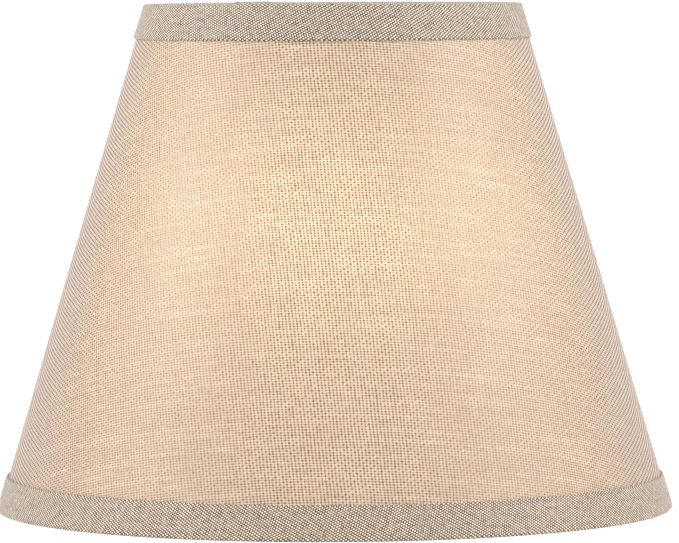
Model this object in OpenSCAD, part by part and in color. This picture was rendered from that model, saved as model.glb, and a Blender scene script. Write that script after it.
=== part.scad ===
// Empire lamp shade: linen laminated to a stiff plastic liner, drawn round two wire rings,
// bound with cloth tape at both rims, and hung from a recessed three-arm spider fitter.
// +Z is up. The origin is on the shade's axis, level with the foot of the bottom rim.
// The glued seam is at the back, on the +Y side, and one spider arm points at it.

/* [Shade] */
// Diameter over the binding at the top rim
top_d = 127; // [110:1:140]
// Diameter over the binding at the bottom rim
bottom_d = 228.6; // [200:1:250]
// Length of the side, measured down the slope
slant = 177.8; // [150:1:210]

/* [Skin] */
// Thickness of the linen
linen_t = 0.5; // [0.3:0.1:0.8]
// Thickness of the plastic liner behind the linen
liner_t = 0.4; // [0.3:0.1:0.6]
// Width that the two ends of the skin overlap at the seam
overlap_w = 10; // [6:1:16]
// Thickness of the double-sided tape in the seam
seam_tape_t = 0.15; // [0.1:0.05:0.3]
// Gap between the skin's free edge and the step down to its tucked-under end
seam_gap = 0.15; // [0.1:0.05:0.5]

/* [Binding] */
// Width of the binding tape outside, down the slope
binding_w = 12.2; // [9:0.1:16]
// Thickness of one layer of binding tape
binding_t = 0.5; // [0.4:0.1:0.7]
// Length of the binding's tucked-in leg, down the slope
binding_tuck = 10; // [8:0.5:14]

/* [Wire frame] */
// Diameter of the ring wire
wire_d = 2.4; // [2.2:0.1:3]
// Diameter of the arm wire, thinner than the ring so that the weld closes round it
arm_d = 2.2; // [1.8:0.1:2.6]
// Depth of the washer's top face below the top rim
spider_drop = 12.7; // [11:0.1:16]
// Radius of the bends in an arm, on the wire's centre line
arm_bend_r = 5; // [4:0.5:6]
// Slope of the middle of an arm below level, in degrees
arm_slope = 50; // [40:1:60]

/* [Washer] */
// Diameter of the washer
washer_d = 25.4; // [22:0.1:30]
// Diameter of the hole for the harp's stud
stud_hole_d = 11.1; // [8:0.1:12]
// Thickness of the washer
washer_t = 1.5; // [1.2:0.1:2]

/* [Hidden] */
$fn = 96;
arm_count = 3;

// The cone. The tape under the bottom rim is pressed flat, by this much.
foot_press = 0.05;
top_r = top_d / 2;
bottom_r = bottom_d / 2;
lean = asin((bottom_r - top_r) / slant);
height = slant * cos(lean) - foot_press;

// Depths below the outer face, measured square to it, from outside to inside
linen_out = 2 * binding_t;
liner_out = linen_out + linen_t;
liner_in = liner_out + liner_t;
seam_tape_in = liner_in + seam_tape_t;
tucked_linen_in = seam_tape_in + linen_t;
tucked_liner_in = tucked_linen_in + liner_t;

// The rims. Each rim's edge runs inwards from the outer face at a slope: square to the side at the
// top, and level at the bottom, so that the shade stands flat.
wire_r = wire_d / 2;
wrap_r = wire_r + binding_t;
glue_gap = 0.1;
wire_depth = liner_in + glue_gap + wire_r;
rim_corner_r = 0.9;
top_edge = 0;
bottom_edge = tan(lean);

// Distances from a rim's outer corner, down the slope
function edge_length(edge) = sqrt(1 + edge * edge);
function wire_inset(edge) = wire_depth * edge + wrap_r * edge_length(edge);
function corner_inset(edge) = rim_corner_r * (edge + edge_length(edge));
function skin_inset(edge) = liner_in * edge + binding_t * edge_length(edge) + glue_gap;

// Where a circle in the section, set in from a rim, touches the line of the rim's edge
function edge_touch(edge, inset, depth, radius) =
  [inset - radius / edge_length(edge), -depth - radius * edge / edge_length(edge)];

// Where the skin starts and ends, down the slope
skin_top = skin_inset(top_edge);
skin_bottom = slant - skin_inset(bottom_edge);

// The tucked-in leg of a binding leaves the wire at a tangent, and meets the liner this far down
tuck_bridge = 6;
function wrap_leave(edge) =
  let (
    wire_at = [wire_inset(edge), -wire_depth],
    span = [tuck_bridge, -liner_in - binding_t] - wire_at,
    turn = atan2(span.y, span.x) - acos(wrap_r / norm(span))
  )
  wire_at + wrap_r * [cos(turn), sin(turn)];

// The wire ring under the top rim, in section
top_wire_x = top_r + wire_inset(top_edge) * sin(lean) - wire_depth * cos(lean);
top_wire_z = height - wire_inset(top_edge) * cos(lean) - wire_depth * sin(lean);

// The washer, and the flattened feet of the arms that are welded under it
washer_under = height - spider_drop - washer_t;
washer_edge = 0.3;
foot_t = 1.65;
foot_w = 4.2;
foot_start = 8.5;
foot_end = 16;

// The arms. Each leaves the ring level for a short way.
arm_r = arm_d / 2;
arm_level = 4;
arm_z = washer_under - arm_r - 0.05;
slit_clear = 0.3;

// The sloping run is a hair thinner than the bends, and its ends seat this far inside them
run_thinner = 0.02;
run_seat = 0.3;

// The lap seam, across the back from the end of the tucked-under skin to its step up to the outside
lap_x = overlap_w / 2;
linen_step_x = lap_x + seam_gap;
liner_step_x = linen_step_x + linen_t;
step_end_x = liner_step_x + liner_t;

// The tucked-under skin stops short of the wires. The bindings bulge inwards over it, from a little
// nearer the rim to just short of the end of the tucked-in leg.
lap_margin = 5;
bulge_start = 4;
bulge_end = binding_tuck - 0.2;
bulge_in = tucked_liner_in + binding_t;

// A section drawn in slope coordinates: x runs down the slope from the top rim,
// and y is minus the depth below the outer face.
module on_slope() {
  translate([top_r, height]) rotate(lean - 90) children();
}

// A layer of the skin between two depths, from one distance down the slope to another
module layer(depth_out, depth_in, start, end) {
  rotate_extrude()
    on_slope()
      translate([start, -depth_in]) square([end - start, depth_in - depth_out]);
}

// The part of the back half between two x
module back_slab(x_low, x_high) {
  translate([x_low, 0, 0]) cube([x_high - x_low, bottom_r, height]);
}

// A layer of the skin with a slot through it at the seam
module split_layer(depth_out, depth_in, slot_low, slot_high) {
  difference() {
    layer(depth_out, depth_in, skin_top, skin_bottom);
    back_slab(slot_low, slot_high);
  }
}

// A strip of a layer at the seam, as long as the lap is
module lap_strip(depth_out, depth_in, x_low, x_high) {
  intersection() {
    layer(depth_out, depth_in, lap_margin, slant - lap_margin);
    back_slab(x_low, x_high);
  }
}

// A strip at the seam, beside a rim: between two distances from the rim, and between two depths
module rim_strip(edge, start, end, depth_out, depth_in, margin) {
  intersection() {
    rotate_extrude()
      on_slope()
        at_rim(edge)
          translate([start, -depth_in]) square([end - start, depth_in - depth_out]);
    back_slab(-lap_x - margin, step_end_x + margin);
  }
}

// The wire's section at a rim, with its own radius or that of the tape round it
module wire_section(edge, radius = wire_r) {
  translate([wire_inset(edge), -wire_depth]) circle(radius);
}

// Section of a binding: two layers outside, one over the skin and the wire, and one tucked in
module binding_section(edge) {
  wire_at = wire_inset(edge);
  corner_at = corner_inset(edge);
  difference() {
    union() {
      translate([corner_at, -rim_corner_r]) circle(rim_corner_r);
      translate([corner_at, -linen_out]) square([binding_w - corner_at, linen_out]);
      polygon([
        edge_touch(edge, corner_at, rim_corner_r, rim_corner_r),
        edge_touch(edge, wire_at, wire_depth, wrap_r),
        [wire_at, -wire_depth],
        [wire_at, -rim_corner_r],
        [corner_at, -rim_corner_r]
      ]);
      wire_section(edge, wrap_r);
      polygon([
        [wire_at, -linen_out],
        [wire_at, -wire_depth],
        wrap_leave(edge),
        [tuck_bridge, -liner_in - binding_t],
        [binding_tuck, -liner_in - binding_t],
        [binding_tuck, -linen_out]
      ]);
    }
    translate([skin_inset(edge), -liner_in]) square([slant, liner_in - linen_out]);
    wire_section(edge);
  }
}

// Puts a section drawn for the top rim at its own rim
module at_rim(edge) {
  if (edge == top_edge) children();
  else translate([slant, 0]) mirror([1, 0]) children();
}

// The linen, with its tucked-under end
module linen_cover() {
  color([0.86, 0.76, 0.64]) {
    split_layer(linen_out, liner_out, lap_x, linen_step_x);
    lap_strip(linen_out, tucked_linen_in, linen_step_x, liner_step_x);
    lap_strip(seam_tape_in, tucked_linen_in, -lap_x, liner_step_x);
  }
}

// The liner, with its tucked-under end
module plastic_liner() {
  color([0.96, 0.94, 0.9]) {
    split_layer(liner_out, liner_in, lap_x, liner_step_x);
    lap_strip(liner_out, tucked_liner_in, liner_step_x, step_end_x);
    lap_strip(tucked_linen_in, tucked_liner_in, -lap_x, step_end_x);
  }
}

module seam_tape() {
  color([0.93, 0.91, 0.82]) lap_strip(liner_in, seam_tape_in, -lap_x, lap_x);
}

// A binding, bulging inwards over the tucked-under end of the skin
module binding(edge) {
  difference() {
    union() {
      rotate_extrude() on_slope() at_rim(edge) binding_section(edge);
      rim_strip(edge, bulge_start, bulge_end, liner_in + glue_gap, bulge_in, binding_t);
    }
    rim_strip(edge, lap_margin, binding_tuck + 1, liner_out, tucked_liner_in, 0);
  }
}

module top_binding() {
  color([0.72, 0.66, 0.59])
    difference() {
      binding(top_edge);
      for (i = [0 : arm_count - 1]) at_arm(i) arm_slit();
    }
}

module bottom_binding() {
  color([0.72, 0.66, 0.59])
    difference() {
      binding(bottom_edge);
      translate([0, 0, -1]) cylinder(r = bottom_r + 1, h = 1);
    }
}

module top_ring() {
  color([0.93, 0.93, 0.91]) rotate_extrude() on_slope() wire_section(top_edge);
}

module bottom_ring() {
  color([0.93, 0.93, 0.91]) rotate_extrude() on_slope() at_rim(bottom_edge) wire_section(bottom_edge);
}

// Turns an arm drawn along +X to its place, the first one at the back seam
module at_arm(i) {
  rotate(90 + i * 360 / arm_count) children();
}

// The hole in the tucked-in binding that an arm passes through
module arm_slit() {
  wide = arm_d + 2 * slit_clear;
  deep = 3 * wire_d;
  translate([top_wire_x - deep, -wide / 2, top_wire_z - wide / 2]) cube([deep, wide, wide]);
}

// A straight length of wire along +X from one radius to another
module wire_run(from_x, to_x, z) {
  translate([from_x, 0, z]) rotate([0, 90, 0]) cylinder(r = arm_r, h = to_x - from_x);
}

// A bend of wire in the XZ plane about a centre, from one angle through a sweep
module wire_bend(centre_x, centre_z, from_angle, sweep) {
  translate([centre_x, 0, centre_z])
    rotate([90, 0, 0])
      rotate(from_angle)
        rotate_extrude(angle = sweep) translate([arm_bend_r, 0]) circle(arm_r);
}

// One arm along +X: level from the ring, down the slope, and level again to a flattened foot
module arm() {
  upper_x = top_wire_x - arm_level;
  dip = arm_bend_r * (1 - cos(arm_slope));
  reach = arm_bend_r * sin(arm_slope);
  fall = top_wire_z - arm_z - 2 * dip;
  lower_x = upper_x - 2 * reach - fall / tan(arm_slope);
  difference() {
    wire_run(upper_x, top_wire_x, top_wire_z);
    rotate_extrude() translate([top_wire_x, top_wire_z]) circle(wire_r);
  }
  wire_bend(upper_x, top_wire_z - arm_bend_r, 90, arm_slope);
  translate([upper_x - reach, 0, top_wire_z - dip])
    rotate([0, -90 - arm_slope, 0])
      translate([0, 0, -run_seat])
        cylinder(r = arm_r - run_thinner, h = fall / sin(arm_slope) + 2 * run_seat);
  wire_bend(lower_x, arm_z + arm_bend_r, 270, arm_slope);
  wire_run(foot_end - 1, lower_x, arm_z);
  translate([0, 0, washer_under - foot_t]) {
    translate([foot_start + foot_w / 2, 0, 0]) cylinder(d = foot_w, h = foot_t);
    translate([foot_start + foot_w / 2, -foot_w / 2, 0])
      cube([foot_end - foot_start - foot_w / 2, foot_w, foot_t]);
  }
}

module spider_arm(i) {
  color([0.93, 0.93, 0.91]) at_arm(i) arm();
}

module spider_washer() {
  outer = washer_d / 2;
  hole = stud_hole_d / 2;
  color([0.93, 0.93, 0.91])
    translate([0, 0, washer_under])
      rotate_extrude()
        polygon([
          [hole, 0],
          [outer - washer_edge, 0],
          [outer, washer_edge],
          [outer, washer_t - washer_edge],
          [outer - washer_edge, washer_t],
          [hole, washer_t]
        ]);
}

linen_cover();
plastic_liner();
seam_tape();
top_binding();
bottom_binding();
top_ring();
bottom_ring();
spider_arm(0);  // spider_arm_1
spider_arm(1);  // spider_arm_2
spider_arm(2);  // spider_arm_3
spider_washer();
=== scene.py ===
"""An empire lamp shade: linen on a white plastic liner, bound with tape and lit by a lamp inside."""

import math

import bpy
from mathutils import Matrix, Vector, noise


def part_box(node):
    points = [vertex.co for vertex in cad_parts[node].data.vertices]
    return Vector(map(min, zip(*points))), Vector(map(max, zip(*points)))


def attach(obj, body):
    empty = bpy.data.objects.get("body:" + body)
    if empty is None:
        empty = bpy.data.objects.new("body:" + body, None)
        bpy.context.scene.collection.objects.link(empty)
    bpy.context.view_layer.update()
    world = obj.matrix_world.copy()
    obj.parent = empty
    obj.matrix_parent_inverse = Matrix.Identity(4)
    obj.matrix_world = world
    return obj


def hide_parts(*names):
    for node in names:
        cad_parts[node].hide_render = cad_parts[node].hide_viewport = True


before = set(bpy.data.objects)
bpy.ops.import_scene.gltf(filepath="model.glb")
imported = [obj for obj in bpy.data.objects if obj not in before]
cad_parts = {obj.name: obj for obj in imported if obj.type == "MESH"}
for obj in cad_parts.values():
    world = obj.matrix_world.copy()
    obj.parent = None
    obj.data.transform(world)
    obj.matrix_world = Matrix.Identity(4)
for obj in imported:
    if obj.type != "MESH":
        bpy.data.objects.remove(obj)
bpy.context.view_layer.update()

MM = 0.001
BACK = math.pi

# The layers of the side: their thicknesses, and their depths below the bindings' outer face
TAPE_T = 0.5 * MM
LINEN_T = 0.7 * MM
LINER_T = 0.36 * MM
GLUE_T = 0.02 * MM
LINEN_DEPTH = 0.8 * MM
LINER_DEPTH = LINEN_DEPTH + LINEN_T + GLUE_T
SKIN_BACK = 1.9 * MM
WIRE_DEPTH = 3.2 * MM

# The lap seam at the back: half its width, how the end that passes under drops, its gap before the
# free edge, and how far from the rims it stops, to leave the wires room
LAP_HALF = 5.0 * MM
LAP_RAMP = 14.0 * MM
LAP_DROP = 1.25 * MM
LAP_GAP = 0.2 * MM
LAP_MARGIN = 5.0 * MM
LAP_FADE = 1.5 * MM

# The side is rolled by hand: how far it strays from the cone, how close its waves are, and where
# they fade out, near the rims, in metres, and near the seam, in radians. Its cut end is frayed
SIDE_WAVE = 0.14 * MM
WAVE_ROUND, WAVE_DOWN = 2.0, 16
WAVE_RIM_FADE = (10 * MM, 40 * MM)
WAVE_SEAM_FADE = (0.15, 0.5)
FRAY = 0.12 * MM
FRAY_SCALE = 900

# The skin's mesh: its columns at the free edge, at the tucked-under end and up to it, as distances
# from the seam, the even ones between, as angles, and its rows, as distances from each rim
FREE_EDGE = [-LAP_HALF, -4.2 * MM, -3 * MM, -1 * MM, 2 * MM, LAP_HALF]
TUCKED_END = [-4.2 * MM, -3 * MM, 0.0, 3 * MM, LAP_HALF]
RAMP_START, RAMP_COLUMNS = -20 * MM, 22
ROUND_START, ROUND_END, ROUND_COLUMNS = BACK + 0.12, 3 * BACK - 0.35, 230
RIM_ROWS = [x * MM for x in (0, 1.2, 2.4, 3.2, 4.0, 5.0, 7.0, 9.5)]
MIDDLE_ROWS = 60

# The bindings: outside width, tucked-in width, where the tucked leg meets the liner, where the hem
# starts, the rim's corner, how far each folded edge stands off the skin, and how the width changes
BINDING_W = 12.2 * MM
TUCK = 10.0 * MM
TUCK_BRIDGE = 6.0 * MM
HEM_END = 2.5 * MM
CORNER_R = 0.9 * MM
TOP_FLARE = 0.15 * MM
BOTTOM_FLARE = 0.03 * MM
WIDTH_CHANGE = 0.22 * MM

# Each binding's own lap: its length, its place past the seam, how the upper end climbs on the lower
# one, by less over the rim, where it is pulled tight, and how much wider it is there. Near the floor
# the lower layer is left out, up to a short cover at the end of the lap
TAPE_LAP = 12.0 * MM
TAPE_LAP_AT = 24.0 * MM
TAPE_LAP_RAMP = 5.0 * MM
TAPE_LAP_LEVEL = 0.5 * MM
TAPE_LIFT = 0.52 * MM
TAPE_LAP_WIDER = 0.15 * MM
LAP_COVER = 1.0 * MM
RIM_PRESS = 0.5

# The points of a binding's section: its hem, the fold, the outer layer, the rim's corner, the wrap
# round the wire, and the tucked leg
HEM_POINTS = 6
FOLD_POINTS = 7
FACE_POINTS = 9
CORNER_POINTS = 6
WRAP_POINTS = 15
LEG_POINTS = 6

# The spider arms, their angles from the front towards +X, and the slits round them
SPIDER_ARMS = ["spider_arm_1", "spider_arm_2", "spider_arm_3"]
ARM_TURNS = [BACK, -BACK / 3, BACK / 3]
ARM_SLIT = 1.4 * MM

# The columns of a binding's mesh: their usual step, the step at the lap, how far that one goes on
# from the lower end, the step at the arms, and how far that one reaches on either side
TAPE_STEP = 2.2 * MM
LAP_STEP = 0.9 * MM
LAP_START = 2.0 * MM
ARM_STEP = 0.35 * MM
ARM_REACH = 4.0 * MM


# ---------------------------------------------------------------- the cone, read from the frame


def ring(node):
    """Radius and height of a wire ring's centre line, and the wire's own radius."""
    low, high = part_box(node)
    wire = (high[2] - low[2]) / 2
    return high[0] - wire, (low[2] + high[2]) / 2, wire


TOP_R, TOP_Z, WIRE_R = ring("top_ring")
BOTTOM_R, BOTTOM_Z, _ = ring("bottom_ring")
LEAN = math.atan2(BOTTOM_R - TOP_R, TOP_Z - BOTTOM_Z)
SIDE = math.hypot(BOTTOM_R - TOP_R, TOP_Z - BOTTOM_Z)

# The slope of each rim's own edge: the top one is square to the side, and the bottom one level
TOP_EDGE = 0.0
BOTTOM_EDGE = math.tan(LEAN)


def wire_inset(edge):
    """How far down the side from a rim its wire lies. edge is the slope of the rim's own edge."""
    return WIRE_DEPTH * edge + (WIRE_R + TAPE_T) * math.hypot(1, edge)


def radius_at(down, depth):
    """Radius at a distance down the side from the top wire, and a depth below the outer face."""
    return TOP_R + down * math.sin(LEAN) + (WIRE_DEPTH - depth) * math.cos(LEAN)


def on_side(turn, down, depth):
    """A point of the side. turn is the angle from the front, towards +X."""
    r = radius_at(down, depth)
    z = TOP_Z - down * math.cos(LEAN) + (WIRE_DEPTH - depth) * math.sin(LEAN)
    return Vector((r * math.sin(turn), -r * math.cos(turn), z))


def down_at(z, depth):
    """The distance down the side of a height z."""
    return (TOP_Z - z + (WIRE_DEPTH - depth) * math.sin(LEAN)) / math.cos(LEAN)


def smooth(low, high, x):
    """0 below low, 1 above high, and an S-curve between."""
    t = min(1.0, max(0.0, (x - low) / (high - low)))
    return t * t * (3 - 2 * t)


def spread(start, end, count):
    """Evenly spaced values from start to end."""
    return [start + (end - start) * k / (count - 1) for k in range(count)]


# ---------------------------------------------------------------- meshes


def grid_piece(name, points, coords, materials, thickness, offset):
    """A sheet from rows of points, given a thickness and sharp cut edges. coords are the matching
    places on the flat cloth, in metres. A point of None leaves a hole. A second material goes on
    the inner face."""
    rows, columns = len(points), len(points[0])
    index, verts, places = {}, [], []
    for i in range(rows):
        for j in range(columns):
            if points[i][j] is not None:
                index[i, j] = len(verts)
                verts.append(points[i][j])
                places.append(coords[i][j])
    faces = []
    for i in range(rows - 1):
        for j in range(columns - 1):
            corners = [(i, j), (i + 1, j), (i + 1, j + 1), (i, j + 1)]
            if all(c in index for c in corners):
                faces.append([index[c] for c in corners])
    mesh = bpy.data.meshes.new(name)
    mesh.from_pydata(verts, [], faces)
    layer = mesh.uv_layers.new(name="weave")
    for loop in mesh.loops:
        layer.data[loop.index].uv = places[loop.vertex_index]
    piece = bpy.data.objects.new(name, mesh)
    bpy.context.scene.collection.objects.link(piece)
    solid = piece.modifiers.new("thickness", "SOLIDIFY")
    solid.thickness = thickness
    solid.offset = offset
    solid.material_offset = len(materials) - 1
    for material in materials:
        mesh.materials.append(material)
    return settled(piece)


def settled(piece, sharp=40):
    """Applies a piece's modifiers and smooths its shading up to an angle."""
    evaluated = piece.evaluated_get(bpy.context.evaluated_depsgraph_get())
    mesh = bpy.data.meshes.new_from_object(evaluated)
    piece.modifiers.clear()
    piece.data = mesh
    mesh.shade_smooth()
    mesh.set_sharp_from_angle(angle=math.radians(sharp))
    return piece


# ---------------------------------------------------------------- the rolled skin


def flat_pattern(turn, down, depth):
    """Where a point of the side lies on the cone rolled out flat, in metres. The front is at u = 0."""
    reach = radius_at(down, depth) / math.sin(LEAN)
    angle = turn * math.sin(LEAN)
    return reach * math.sin(angle), reach * math.cos(angle)


def skin_columns():
    """The columns round the skin, from its free edge to its tucked-under end. Each is an angle and
    an offset along the girth from it, so that both ends stay straight and parallel."""
    start = [(BACK, x) for x in FREE_EDGE]
    around = [(turn, 0.0) for turn in spread(ROUND_START, ROUND_END, ROUND_COLUMNS)]
    ramp = spread(RAMP_START, -LAP_HALF - LAP_GAP, RAMP_COLUMNS)
    return start + around + [(3 * BACK, x) for x in ramp + TUCKED_END]


def skin_rows(node, depth, thickness):
    """Distances down the side of the skin's rows, closer together near the rims."""
    low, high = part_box(node)
    start = down_at(high[2], depth)
    end = down_at(low[2], depth + thickness)
    middle = spread(start + RIM_ROWS[-1], end - RIM_ROWS[-1], MIDDLE_ROWS)[1:-1]
    return [start + x for x in RIM_ROWS] + middle + [end - x for x in reversed(RIM_ROWS)]


def skin_wave(turn, down):
    """The slight unevenness of a hand-rolled side. It fades out at the rims and at the seam."""
    hold = smooth(*WAVE_RIM_FADE, down) * smooth(*WAVE_RIM_FADE, SIDE - down)
    hold *= smooth(*WAVE_SEAM_FADE, abs((turn % (2 * BACK)) - BACK))
    where = (WAVE_ROUND * math.sin(turn), WAVE_ROUND * math.cos(turn), WAVE_DOWN * down)
    return SIDE_WAVE * hold * noise.noise(Vector(where))


def fray(down):
    """The slight unevenness of a cut edge."""
    return FRAY * noise.noise(Vector((FRAY_SCALE * down, 0.5, 0)))


def skin(name, node, depth, thickness, materials):
    """One layer of the skin, rolled from its free edge to its tucked-under end."""
    columns = skin_columns()
    points, coords = [], []
    for down in skin_rows(node, depth, thickness):
        from_rim = min(down + wire_inset(TOP_EDGE), SIDE + wire_inset(BOTTOM_EDGE) - down)
        tucked = smooth(LAP_MARGIN - LAP_FADE, LAP_MARGIN, from_rim)
        line, flat = [], []
        r = radius_at(down, depth)
        for turn, offset in columns:
            drop = 0.0
            if turn == 3 * BACK:
                drop = LAP_DROP * smooth(-LAP_HALF - LAP_RAMP, -LAP_HALF - LAP_GAP, offset) * tucked
                if tucked < 1 and offset > -LAP_HALF:
                    line.append(None)
                    flat.append(None)
                    continue
            elif offset == -LAP_HALF:
                offset += fray(down)
            angle = turn + offset / r
            line.append(on_side(angle, down, depth + drop + skin_wave(angle, down)))
            flat.append(flat_pattern(angle - 2 * BACK, down, depth))
        points.append(line)
        coords.append(flat)
    return grid_piece(name, points, coords, materials, thickness, -1)


# ---------------------------------------------------------------- the bindings


def arc(centre, radius, start, end, count):
    """Points of an arc in a section, from one angle to another, in degrees."""
    angles = [math.radians(a) for a in spread(start, end, count)]
    return [(centre[0] + radius * math.cos(a), centre[1] + radius * math.sin(a)) for a in angles]


def tape_section(edge, width, lift, sink):
    """Centre line of a binding in section, hem first, as distances from the rim and depths.
    lift raises the tape off itself at its lap. sink lets the tucked leg into the seam's bulge."""
    half = TAPE_T / 2
    flare = BOTTOM_FLARE if edge == BOTTOM_EDGE else TOP_FLARE
    slope = math.degrees(math.atan(edge))
    corner = (CORNER_R * (edge + math.hypot(1, edge)), CORNER_R)
    wire = (wire_inset(edge), WIRE_DEPTH)
    pressed = RIM_PRESS * lift
    wrap = WIRE_R + half + pressed
    leg = SKIN_BACK + half + lift + sink
    across, along = leg - wire[1], TUCK_BRIDGE - wire[0]
    leave = math.degrees(math.atan2(across, along) + math.acos(wrap / math.hypot(across, along)))
    fold = (width - TAPE_T, TAPE_T - lift - flare)

    def outside(layer, start, end, count):
        """A layer of the outside, flaring towards the fold: 0 is the outer one, 1 the hem under it."""
        bend = [(x, flare * (x / width) ** 2) for x in spread(start, end, count)]
        return [(x, layer * TAPE_T + half - lift - out) for x, out in bend]

    path = outside(1, HEM_END, fold[0], HEM_POINTS + 1)[:-1]
    path += arc(fold, half, 90, -90, FOLD_POINTS)
    path += outside(0, fold[0], corner[0], FACE_POINTS)[1:-1]
    path += arc(corner, CORNER_R - half + pressed, -90, -180 - slope, CORNER_POINTS)
    path += arc(wire, wrap, 180 - slope, leave, WRAP_POINTS)
    path += [(x, leg) for x in spread(TUCK_BRIDGE, TUCK, LEG_POINTS)]
    return path


def section_length(path):
    """The length of a section's centre line."""
    return sum(math.dist(a, b) for a, b in zip(path, path[1:]))


def tape_columns(r):
    """Distances round a binding from its lower end, past a whole turn and over that end. They are
    closer together at the lap and at the arms."""
    girth = 2 * BACK * r
    stops = [0.0]
    while stops[-1] < girth + TAPE_LAP:
        at = stops[-1]
        turn = tape_turn(at, r)
        step = TAPE_STEP
        if at > girth - TAPE_LAP_RAMP or at < LAP_START:
            step = LAP_STEP
        if min(abs(math.remainder(turn - arm, 2 * BACK)) * r for arm in ARM_TURNS) < ARM_REACH:
            step = ARM_STEP
        stops.append(at + step)
    stops[-1] = girth + TAPE_LAP
    return stops


def tape_turn(at, r):
    """The angle of a place along a binding."""
    return BACK + (TAPE_LAP_AT + at) / r


def binding(name, edge, rim_r, material, slit):
    """A tape folded over a rim: its hem, its outside, round the wire, and its tucked-in leg. At its
    lap the upper end has no hem of its own, and the lower end stops short of the floor."""
    bottom = edge == BOTTOM_EDGE
    girth = 2 * BACK * rim_r
    points, coords = [], []
    for at in tape_columns(rim_r):
        turn = tape_turn(at, rim_r)
        where = Vector((3 * math.sin(turn), 3 * math.cos(turn), edge))
        lift = TAPE_LIFT * smooth(girth - TAPE_LAP_RAMP, girth - TAPE_LAP_LEVEL, at)
        width = BINDING_W + WIDTH_CHANGE * noise.noise(3 * where) + TAPE_LAP_WIDER * lift / TAPE_LIFT
        from_seam = abs(math.remainder(turn - BACK, 2 * BACK)) * rim_r
        sink = LAP_DROP * (1 - smooth(LAP_HALF, LAP_HALF + LAP_RAMP, from_seam))
        path = tape_section(edge, width, lift, sink)
        line, flat, travelled = [], [], 0.0
        for k, (inset, depth) in enumerate(path):
            travelled += math.dist(path[k - 1], path[k]) if k else 0.0
            down = SIDE + wire_inset(edge) - inset if bottom else inset - wire_inset(edge)
            point = on_side(turn, down, depth)
            under_lap = bottom and at < TAPE_LAP - LAP_COVER and point.z < TAPE_T / 2 + TAPE_LIFT
            point.z = max(point.z, TAPE_T / 2)
            hidden_hem = lift > 0.5 * TAPE_LIFT and k < HEM_POINTS
            in_slit = slit and depth > WIRE_DEPTH and near_arm_axis(point)
            line.append(None if hidden_hem or in_slit or under_lap else point)
            flat.append((at, travelled))
        points.append(line)
        coords.append(flat)
    if bottom:
        points.reverse()
        coords.reverse()
    return grid_piece(name, points, coords, [material], TAPE_T, 0)


def near_arm_axis(point):
    """Whether a point of the top binding lies in the slit round a spider arm."""
    for arm in ARM_TURNS:
        along = point.x * math.sin(arm) - point.y * math.cos(arm)
        across = point.x * math.cos(arm) + point.y * math.sin(arm)
        if along > 0 and math.hypot(across, point.z - TOP_Z) < ARM_SLIT:
            return True
    return False


# ---------------------------------------------------------------- materials


class Nodes:
    """A material's node tree, with short calls for the nodes that it is made of."""

    def __init__(self, name):
        self.material = bpy.data.materials.new(name)
        self.material.use_nodes = True
        self.tree = self.material.node_tree
        self.tree.nodes.clear()

    def put(self, socket, value):
        """Sets a socket to a value, or links another socket to it."""
        if isinstance(value, bpy.types.NodeSocket):
            self.tree.links.new(value, socket)
        else:
            socket.default_value = value

    def add(self, kind, inputs=None, **settings):
        """A new shader node, with its inputs and settings."""
        node = self.tree.nodes.new("ShaderNode" + kind)
        for key, value in settings.items():
            setattr(node, key, value)
        for key, value in (inputs or {}).items():
            self.put(node.inputs[key], value)
        return node

    def math(self, operation, *values, clamp=False):
        """The result of an operation on values and sockets."""
        node = self.add("Math", operation=operation, use_clamp=clamp)
        for socket, value in zip(node.inputs, values):
            self.put(socket, value)
        return node.outputs[0]

    def range(self, value, low, high, to_low=0.0, to_high=1.0):
        """A value moved from one range to another, with a smooth step and clamped ends."""
        inputs = {0: value, 1: low, 2: high, 3: to_low, 4: to_high}
        return self.add("MapRange", inputs, interpolation_type="SMOOTHSTEP").outputs[0]

    def mix(self, factor, a, b, blend="MIX"):
        """Two colours mixed."""
        node = self.add("Mix", data_type="RGBA", blend_type=blend)
        for key, value in ((0, factor), (6, a), (7, b)):
            self.put(node.inputs[key], (*value, 1) if isinstance(value, tuple) else value)
        return node.outputs[2]

    def tint(self, colour, by):
        """A colour multiplied by another."""
        return self.mix(1.0, colour, by, "MULTIPLY")

    def combine(self, x, y, z=0.0):
        """A vector from its parts."""
        return self.add("CombineXYZ", {0: x, 1: y, 2: z}).outputs[0]

    def noise(self, vector, scale=1.0, detail=2.0, dimensions="2D"):
        """Smooth noise from 0 to 1. Two dimensions suit cloth, and three a solid."""
        inputs = {"Vector": vector, "Scale": scale, "Detail": detail}
        return self.add("TexNoise", inputs, noise_dimensions=dimensions).outputs[0]

    def cosine(self, value, scale):
        """The cosine of a value times a scale."""
        return self.math("COSINE", self.math("MULTIPLY", value, scale))

    def cloth(self):
        """The place on the flat cloth, in metres."""
        return self.add("UVMap", uv_map="weave").outputs[0]

    def clouds(self, vector, along, across, detail=2.0):
        """Noise drawn out by a different scale each way."""
        stretched = self.add("Mapping", {"Vector": vector, "Scale": (along, across, 1)})
        return self.noise(stretched.outputs[0], 1, detail)

    def bump(self, height, distance, strength):
        """A normal bent by a height. distance is how high a height of 1 stands, in metres."""
        inputs = {"Height": height, "Distance": distance, "Strength": strength}
        return self.add("Bump", inputs).outputs[0]

    def shade(self, socket):
        """Ends the tree at a shader."""
        output = self.add("OutputMaterial")
        self.tree.links.new(socket, output.inputs[0])
        return self.material


# How the threads of every weave vary. Scales are per metre of cloth, seeds set one thread apart from
# the next, and drifts are how fast a thread changes along itself. Slubs are where noise is high
WANDER_SCALE = 70
WARP_SEED, WEFT_SEED, SLUB_SEED = 7.31, 5.17, 3.77
TONE_DRIFT, SLUB_DRIFT = 0.09, 0.05
SLUB_RARE = (0.68, 0.78)
SLUB_WIDER = 0.2

# How soft the change is from one set of threads on top to the other
CROSSING = 0.06

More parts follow.
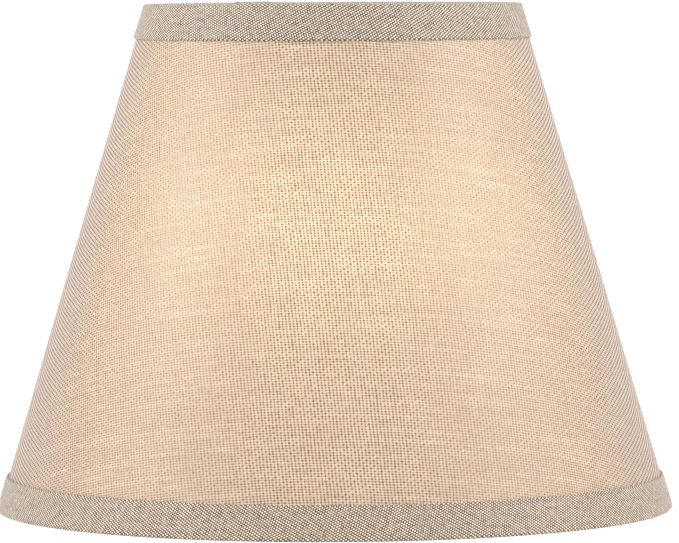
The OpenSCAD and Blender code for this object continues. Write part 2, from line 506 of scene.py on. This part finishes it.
# The gaps between threads, dark partly from glue and partly as painted shade: what each set adds
# to where they meet, the fuzz that blurs them, the range of the painted shade in the grooves, and how
# much painted shade darkens every other gap, by a share that noise changes
WARP_GAP, WEFT_GAP = 0.88, 0.82
FUZZ_SCALE, FUZZ = 700, 2.2
GROOVE_SHADE_RANGE = (-1.4, 0.6)
PAIR_SCALE = 90
PAIR_NOISE = (0.38, 0.62)
PAIR_SHARE = (0.4, 1.1)
GAP_SHADE_RANGE = (-0.12, 0.50)


def along_thread(g, cell, along, seed, drift, detail=2):
    """Noise that differs from thread to thread, and drifts slowly along each."""
    where = g.combine(g.math("MULTIPLY", cell, seed), g.math("MULTIPLY", along, drift))
    return g.noise(where, 1, detail)


def wander(g, place, amount):
    """How far the threads stray from their even places."""
    return g.math("MULTIPLY_ADD", g.noise(place, WANDER_SCALE, 3), amount, -amount / 2)


def thread(g, across, wide, along, side):
    """Height of one set of threads: round in section, and bending over and under the other set."""
    ratio = g.math("DIVIDE", g.math("MULTIPLY", across, 2.0), wide)
    rounded = g.math("SUBTRACT", 1.0, g.math("MULTIPLY", ratio, ratio))
    inside = g.math("GREATER_THAN", rounded, 0.0)
    crown = g.math("SQRT", g.math("MAXIMUM", rounded, 0.0))
    bend = g.math("MULTIPLY", g.cosine(along, math.pi), side)
    lift = g.math("MULTIPLY_ADD", bend, 0.5, g.math("MULTIPLY", crown, 0.5))
    return g.math("SUBTRACT", g.math("MULTIPLY", g.math("ADD", lift, 1.0), inside), 1.0)


def gaps(g, place, a, b, tones, vary, gap, gap_depth, groove_shade, gap_shade):
    """How dark each place is: the gaps where four threads meet, partly painted shade, every other one
    made darker by painted shade, and the painted shade in the grooves between threads. Also where the
    darker gaps are, from 1 to 0."""
    meet = g.math("MULTIPLY", g.cosine(b, 2 * math.pi), WEFT_GAP)
    meet = g.math("MULTIPLY_ADD", g.cosine(a, 2 * math.pi), WARP_GAP, meet)
    meet = g.math("ADD", meet, g.math("MULTIPLY_ADD", g.math("ADD", *tones), -vary, vary))
    meet = g.math("ADD", meet, g.math("MULTIPLY_ADD", g.noise(place, FUZZ_SCALE, 2), FUZZ, -FUZZ / 2))
    # Painted shade on every other gap, as light from one side leaves it.
    every_other = g.math("MULTIPLY", g.cosine(a, math.pi), g.cosine(b, math.pi))
    paired = g.range(g.noise(place, PAIR_SCALE, 2), *PAIR_NOISE, *PAIR_SHARE)
    meet = g.math("MULTIPLY_ADD", every_other, g.math("MULTIPLY", paired, gap_shade), meet)
    # dark holds the gaps' darkness, partly painted shade, and the painted shade in the grooves.
    dark = g.math("ADD", g.range(meet, *gap, 0, gap_depth), g.range(meet, *GROOVE_SHADE_RANGE, 0, groove_shade))
    return dark, g.range(every_other, *GAP_SHADE_RANGE, 1, 0)


def weave(g, pitch, lean, wide, uneven, vary, gap, gap_depth, groove_shade=0.0, gap_shade=0.0, bias=0.0,
          gap_dark_share=1.0):
    """A plain weave on the flat cloth. pitch is the warp's and the weft's, and lean is the warp's
    slope. wide is a thread's share of its pitch, vary how much that changes, and uneven how far the
    threads stray. gap, gap_depth and groove_shade set how dark it is between threads, partly as
    painted shade, gap_shade how much painted shade darkens every other gap, and gap_dark_share the
    share of that darkness. bias widens the warp's share of the crossings. Returns the height, where
    there is thread, where the warp is on top, each thread's own tone, where slubs thicken the weft,
    and where the darker gaps of painted shade are."""
    place = g.cloth()
    split = g.add("SeparateXYZ", {0: place})
    u, v = split.outputs[0], split.outputs[1]
    leant = g.math("MULTIPLY_ADD", v, -math.tan(lean), u)
    a = g.math("MULTIPLY_ADD", leant, 1 / pitch[0], wander(g, place, uneven))
    b = g.math("MULTIPLY_ADD", v, 1 / pitch[1], wander(g, g.combine(v, u), uneven))
    cell_a, cell_b = g.math("FLOOR", a), g.math("FLOOR", b)
    from_a = g.math("SUBTRACT", g.math("SUBTRACT", a, cell_a), 0.5)
    from_b = g.math("SUBTRACT", g.math("SUBTRACT", b, cell_b), 0.5)
    odd = g.math("FLOORED_MODULO", g.math("ADD", cell_a, cell_b), 2.0)
    side = g.math("MULTIPLY_ADD", odd, -2.0, 1.0)

    tone_a = along_thread(g, cell_a, b, WARP_SEED, TONE_DRIFT)
    tone_b = along_thread(g, cell_b, a, WEFT_SEED, TONE_DRIFT)
    slub = g.range(along_thread(g, cell_b, a, SLUB_SEED, SLUB_DRIFT, 1), *SLUB_RARE)
    wide_a = g.math("MULTIPLY_ADD", tone_a, vary, wide - vary / 2)
    wide_b = g.math("MULTIPLY_ADD", tone_b, vary, wide - vary / 2)
    wide_b = g.math("ADD", wide_b, g.math("MULTIPLY", slub, SLUB_WIDER))

    dark, darker = gaps(g, place, a, b, (tone_a, tone_b), vary, gap, gap_depth, groove_shade, gap_shade)
    dark = g.math("MULTIPLY", dark, gap_dark_share)
    lift_a = thread(g, from_a, wide_a, from_b, side)
    lift_b = thread(g, from_b, wide_b, from_a, g.math("MULTIPLY", side, -1.0))
    on_top = g.range(g.math("SUBTRACT", lift_a, lift_b), -CROSSING - bias, CROSSING - bias)
    return {
        "height": g.math("MAXIMUM", lift_a, lift_b),
        "thread": g.math("SUBTRACT", 1.0, dark, clamp=True),
        "warp": on_top,
        "tone": g.add("Mix", {0: on_top, 2: tone_b, 3: tone_a}, data_type="FLOAT").outputs[0],
        "slub": slub,
        "darker": darker,
        "place": place,
    }


# Painted side light on both sides of the front, where the softboxes' light fills the weave: where it
# starts and ends, as angles from the front, what is left there of the gaps' darkness and of the
# crowns' painted highlight, and how much duller the threads are painted there to keep the mean
SIDE_LIGHT_FROM = (math.radians(4), math.radians(30))
SIDE_LIGHT_TO = (math.radians(36), math.radians(60))
SIDE_LIT_GAPS = 0.68
SIDE_LIT_CROWNS = 0.7
SIDE_LIT_DULL = 0.07


def painted_side_light(g):
    """How much painted side light the linen gets, from 0 to 1, by the angle from the front."""
    split = g.add("SeparateXYZ", {0: g.cloth()})
    flat_angle = g.math("ARCTAN2", split.outputs[0], split.outputs[1])
    turn = g.math("ABSOLUTE", g.math("DIVIDE", flat_angle, math.sin(LEAN)))
    return g.math("MULTIPLY", g.range(turn, *SIDE_LIGHT_FROM), g.range(turn, *SIDE_LIGHT_TO, 1, 0))


def cloth_shader(g, reflected, passed, share, normal, roughness, specular, fuzz):
    """Cloth that reflects one colour and lets another through, by a share of 0 to 1."""
    front = g.add("BsdfPrincipled", {
        "Base Color": reflected, "Roughness": roughness, "Normal": normal,
        "Specular IOR Level": specular, "Sheen Weight": fuzz, "Sheen Roughness": 0.35,
        "Sheen Tint": (1.0, 0.98, 0.96, 1),
    })
    through = g.add("BsdfTranslucent", {"Color": passed, "Normal": normal})
    return g.add("MixShader", {0: share, 1: front.outputs[0], 2: through.outputs[0]}).outputs[0]


def loose_fibres(g, under, unshaded):
    """A sheen of loose fibres at glancing angles, over a shader. Its colour has painted shade on the
    darker gaps; unshaded is 1 away from them and 0 on them.
    """
    facing = g.add("LayerWeight", {"Blend": 0.5}).outputs["Facing"]
    # Painted shade: the sheen is near black on the darker gaps.
    tint = g.mix(unshaded, (0.05, 0.025, 0.015), (1.0, 0.83, 0.73))
    sheen = g.add("BsdfSheen", {"Color": tint, "Roughness": 1.0})
    glancing = g.range(facing, 0.35, 0.95)
    return g.add("MixShader", {0: glancing, 1: under, 2: sheen.outputs[0]}).outputs[0]


def linen_yarn(g, w, side_lit, crown):
    """The linen's colour: cream and peach threads with slubs and streaks, and a painted highlight on
    their crowns.
    """
    pink_or_yellow = g.range(g.noise(w["place"], 260, 3), 0.35, 0.65)
    warp = g.mix(pink_or_yellow, (0.59, 0.38, 0.325), (0.58, 0.415, 0.30))
    weft = g.mix(pink_or_yellow, (0.58, 0.37, 0.32), (0.585, 0.395, 0.31))
    pale_streak = g.range(g.clouds(w["place"], 30, 650), 0.50, 0.68, 0, 0.30)
    dark_streak = g.range(g.clouds(w["place"], 450, 22), 0.35, 0.60, 0.10, 0)
    yarn = g.mix(w["warp"], weft, warp)
    yarn = g.mix(g.range(w["tone"], 0.3, 0.7, 0.16, 0.0), yarn, (0.45, 0.30, 0.22))
    yarn = g.mix(g.math("MULTIPLY", w["slub"], 0.2), yarn, (0.97, 0.9, 0.78))
    yarn = g.mix(pale_streak, yarn, (0.95, 0.78, 0.70))
    yarn = g.mix(dark_streak, yarn, (0.42, 0.27, 0.22))
    # A painted highlight: the thread crowns are painted paler.
    yarn = g.mix(g.math("MULTIPLY", crown, 0.48), yarn, (0.96, 0.88, 0.79))
    # The threads are painted duller under the painted side light, to keep the mean.
    return g.mix(g.range(side_lit, 0, 1, 0, SIDE_LIT_DULL), yarn, (0.2, 0.12, 0.08))


def linen_glow(g, w, side_lit, crown):
    """The colour of the light that the linen's threads let through, with a painted highlight at their
    crowns.
    """
    cloud = g.range(g.noise(w["place"], 45, 2), 0.35, 0.65)
    glow = g.mix(cloud, (0.78, 0.73, 0.56), (0.80, 0.76, 0.55))
    glow = g.mix(w["warp"], g.tint(glow, (0.97, 0.94, 0.90)), glow)
    # A painted highlight: the glow is brighter at the thread crowns.
    glow = g.mix(crown, g.tint(glow, (0.93, 0.92, 0.90)), glow)
    # The glow is dimmed under the painted side light, to keep the mean.
    return g.mix(g.range(side_lit, 0, 1, 0, SIDE_LIT_DULL), glow, (0.0, 0.0, 0.0))


def linen_material():
    """Natural linen: cream and peach threads, brown gaps partly of painted shade, and cloudy patches
    of yellow and pink.
    """
    g = Nodes("linen")
    side_lit = painted_side_light(g)
    w = weave(
        g, pitch=(1.14 * MM, 0.848 * MM), lean=math.radians(6.3), wide=0.8, uneven=0.5, vary=0.5,
        gap=(-0.1, 1.6), gap_depth=0.76, groove_shade=0.14, gap_shade=0.58,
        # The gaps are painted less dark under the painted side light.
        gap_dark_share=g.range(side_lit, 0, 1, 1, SIDE_LIT_GAPS),
    )
    # crown is where the painted highlight falls: the tops of the threads, weaker under the painted
    # side light.
    crown = g.range(w["height"], 0.55, 0.98)
    crown = g.math("MULTIPLY", crown, g.range(side_lit, 0, 1, 1, SIDE_LIT_CROWNS))
    cloth = cloth_shader(
        g,
        # The gaps reflect dark brown and pass almost no light: partly dark glue, partly painted shade.
        reflected=g.mix(w["thread"], (0.23, 0.118, 0.045), linen_yarn(g, w, side_lit, crown)),
        passed=g.mix(w["thread"], (0.006, 0.002, 0.0), linen_glow(g, w, side_lit, crown)),
        share=0.42,
        normal=g.bump(w["height"], 0.16 * MM, 0.4),
        roughness=g.range(w["tone"], 0.2, 0.8, 0.40, 0.50),
        specular=g.range(w["thread"], 0, 1, 0.5, 0.95),
        fuzz=0.6,
    )
    return g.shade(loose_fibres(g, cloth, w["darker"]))


def bonded_face_material(name, colour, shade):
    """The face of a layer that is glued to the next one. It only passes light on."""
    g = Nodes(name)
    cloud = g.range(g.noise(g.cloth(), 80, 2), 0.3, 0.7)
    through = g.add("BsdfTranslucent", {"Color": g.mix(cloud, colour, shade)})
    return g.shade(through.outputs[0])


def binding_material():
    """The binding's finer cloth: pale warp over a darker weft, packed close."""
    g = Nodes("binding_cloth")
    w = weave(
        g, pitch=(0.80 * MM, 0.43 * MM), lean=math.radians(-16), wide=0.85, uneven=0.4, vary=0.4,
        gap=(-0.25, 1.25), gap_depth=0.95, bias=0.12,
    )
    fleck = g.range(g.noise(w["place"], 400, 2), 0.35, 0.65)
    warp = g.mix(fleck, (0.97, 0.775, 0.60), (0.97, 0.84, 0.69))
    weft = g.mix(g.range(w["tone"], 0.35, 0.65), (0.02, 0.012, 0.008), (0.10, 0.07, 0.05))
    yarn = g.mix(w["warp"], weft, warp)
    return g.shade(cloth_shader(
        g,
        # The gaps are near black, partly as painted shade.
        reflected=g.mix(w["thread"], (0.03, 0.018, 0.012), yarn),
        passed=(0.6, 0.42, 0.28, 1),
        share=0.08,
        normal=g.bump(w["height"], 0.12 * MM, 0.8),
        roughness=g.range(w["tone"], 0.2, 0.8, 0.42, 0.55),
        specular=g.math("MULTIPLY", w["thread"], 0.6),
        fuzz=0.12,
    ))


def liner_material():
    """White styrene sheet: satin, with faint streaks from the rolls that made it."""
    g = Nodes("styrene")
    streak = g.clouds(g.cloth(), 900, 20, 3)
    mottle = g.noise(g.cloth(), 120, 3)
    colour = g.mix(g.range(mottle, 0.3, 0.7), (0.88, 0.865, 0.83), (0.93, 0.92, 0.895))
    normal = g.bump(g.math("ADD", streak, g.math("MULTIPLY", mottle, 0.6)), 0.03 * MM, 0.5)
    front = g.add("BsdfPrincipled", {
        "Base Color": colour, "Roughness": g.range(streak, 0.3, 0.7, 0.38, 0.52), "Normal": normal,
        "Specular IOR Level": 0.4,
    })
    through = g.add("BsdfTranslucent", {"Color": (0.97, 0.95, 0.90, 1)})
    mixed = g.add("MixShader", {0: 0.75, 1: front.outputs[0], 2: through.outputs[0]})
    return g.shade(mixed.outputs[0])


def powder_coat_material():
    """White powder coat on steel wire: orange peel, slight dust and yellowing."""
    g = Nodes("powder_coat")
    place = g.add("TexCoord").outputs["Object"]
    peel = g.noise(place, 1500, 2, "3D")
    tint = g.noise(place, 90, 3, "3D")
    speck = g.range(g.noise(place, 700, 1, "3D"), 0.70, 0.76)
    colour = g.mix(g.range(tint, 0.3, 0.7), (0.68, 0.67, 0.635), (0.75, 0.745, 0.72))
    colour = g.mix(g.math("MULTIPLY", speck, 0.5), colour, (0.45, 0.42, 0.38))
    normal = g.bump(peel, 0.06 * MM, 0.5)
    shader = g.add("BsdfPrincipled", {
        "Base Color": colour, "Roughness": g.range(tint, 0.3, 0.7, 0.28, 0.42), "Normal": normal,
        "Coat Weight": 0.2, "Coat Roughness": 0.2,
    })
    return g.shade(shader.outputs[0])


def seam_tape_material():
    """Double-sided tape: a hazy film."""
    g = Nodes("film_tape")
    place = g.add("TexCoord").outputs["Object"]
    haze = g.noise(place, 300, 3, "3D")
    colour = g.mix(g.range(haze, 0.3, 0.7), (0.80, 0.76, 0.62), (0.88, 0.85, 0.74))
    shader = g.add("BsdfPrincipled", {
        "Base Color": colour, "Roughness": g.range(haze, 0.3, 0.7, 0.25, 0.5),
        "Normal": g.bump(haze, 0.02 * MM, 0.4),
    })
    return g.shade(shader.outputs[0])


# ---------------------------------------------------------------- the pieces


def make_skin():
    """The linen on its liner, rolled and lapped at the back."""
    bonded_styrene = bonded_face_material("bonded_styrene", (0.97, 0.96, 0.93), (0.95, 0.94, 0.90))
    bonded_linen = bonded_face_material("bonded_linen", (0.96, 0.88, 0.76), (0.93, 0.84, 0.70))
    liner = skin("liner", "plastic_liner", LINER_DEPTH, LINER_T, [bonded_styrene, liner_material()])
    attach(liner, "root")
    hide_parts("plastic_liner")
    linen = skin("linen", "linen_cover", LINEN_DEPTH, LINEN_T, [linen_material(), bonded_linen])
    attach(linen, "root")
    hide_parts("linen_cover")


def make_binding(name, node, edge, rim_r, slit):
    """One binding, as a folded tape."""
    tape = binding(name, edge, rim_r, binding_cloth, slit)
    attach(tape, "root")
    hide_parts(node)
    width = section_length(tape_section(edge, BINDING_W, 0, 0))


def paint(node, material):
    """Gives a CAD part a material of its own."""
    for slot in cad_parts[node].material_slots:
        slot.material = material


binding_cloth = binding_material()
make_skin()
make_binding("top_tape", "top_binding", TOP_EDGE, radius_at(0, 0), slit=True)
make_binding("bottom_tape", "bottom_binding", BOTTOM_EDGE, radius_at(SIDE, 0), slit=False)

powder_coat = powder_coat_material()
for node in ("top_ring", "bottom_ring", "spider_washer", *SPIDER_ARMS):
    paint(node, powder_coat)
paint("seam_tape", seam_tape_material())


# ---------------------------------------------------------------- camera, floor and light


# The camera: where it is, how far it looks down, and its small turns. The photograph has a long lens
CAMERA_AT = (0, -1.853, 0.1857)
LOOKS_DOWN = 0.05714
CAMERA_ROLL, CAMERA_YAW = 0.0046, -0.0013
LENS = 291.58
SENSOR = 36

# The floor is so wide that its edge is out of sight
FLOOR_REACH = 200.0
FLOOR_SIDES = 96

# The lights, in watts and metres: a softbox on each side, and a lamp inside the shade
SOFTBOX_POWER, SOFTBOX_SIZE = 21, 1.0
SOFTBOX_AT = (1.6, -0.45, 1.05)
LAMP_POWER, LAMP_SIZE = 0.205, 0.025
LAMP_AT = (0, -0.036, 0.087)
LAMP_COLOUR = (1.0, 0.96, 0.90)
LIGHTS_AIM = Vector((0, 0, 0.09))


def make_camera():
    """The camera, at the photograph's angle."""
    data = bpy.data.cameras.new("camera")
    data.sensor_width = SENSOR
    data.lens = LENS
    data.clip_end = 500
    camera = bpy.data.objects.new("camera", data)
    camera.location = CAMERA_AT
    camera.rotation_euler = (math.pi / 2 - LOOKS_DOWN, CAMERA_ROLL, CAMERA_YAW)
    bpy.context.scene.collection.objects.link(camera)
    bpy.context.scene.camera = camera


def floor_material():
    """White paper, with some light of its own, so that it stays white to its far edge."""
    g = Nodes("floor")
    diffuse = g.add("BsdfDiffuse", {"Color": (0.6, 0.6, 0.6, 1)})
    emission = g.add("Emission", {"Color": (1, 1, 1, 1), "Strength": 0.5})
    both = g.add("AddShader", {0: diffuse.outputs[0], 1: emission.outputs[0]})
    return g.shade(both.outputs[0])


def make_floor():
    """A white floor, wide enough to fill the background."""
    mesh = bpy.data.meshes.new("floor")
    turns = spread(0, 2 * BACK, FLOOR_SIDES + 1)[:-1]
    rim = [(FLOOR_REACH * math.cos(a), FLOOR_REACH * math.sin(a), 0) for a in turns]
    mesh.from_pydata(rim, [], [list(range(FLOOR_SIDES))])
    mesh.materials.append(floor_material())
    floor = bpy.data.objects.new("floor", mesh)
    bpy.context.scene.collection.objects.link(floor)


def add_light(name, kind, energy, location, colour=(1, 1, 1), **settings):
    """A light that points at the shade and is not seen itself."""
    data = bpy.data.lights.new(name, kind)
    data.energy = energy
    data.color = colour
    for key, value in settings.items():
        setattr(data, key, value)
    light = bpy.data.objects.new(name, data)
    light.location = location
    light.visible_camera = False
    aim = LIGHTS_AIM - Vector(location)
    light.rotation_euler = aim.to_track_quat("-Z", "Y").to_euler()
    bpy.context.scene.collection.objects.link(light)


def make_lights():
    """A white studio, two softboxes, and the lamp that the shade hangs round."""
    world = bpy.data.worlds.new("studio")
    world.use_nodes = True
    background = world.node_tree.nodes["Background"]
    background.inputs[0].default_value = (1, 1, 1, 1)
    background.inputs[1].default_value = 1.0
    bpy.context.scene.world = world
    x, y, z = SOFTBOX_AT
    for side in (-1, 1):
        add_light(f"softbox_{side}", "AREA", SOFTBOX_POWER, (x * side, y, z), size=SOFTBOX_SIZE)
    add_light("lamp", "POINT", LAMP_POWER, LAMP_AT, LAMP_COLOUR, shadow_soft_size=LAMP_SIZE)


make_camera()
make_floor()
make_lights()
bpy.context.scene.view_settings.view_transform = "Standard"
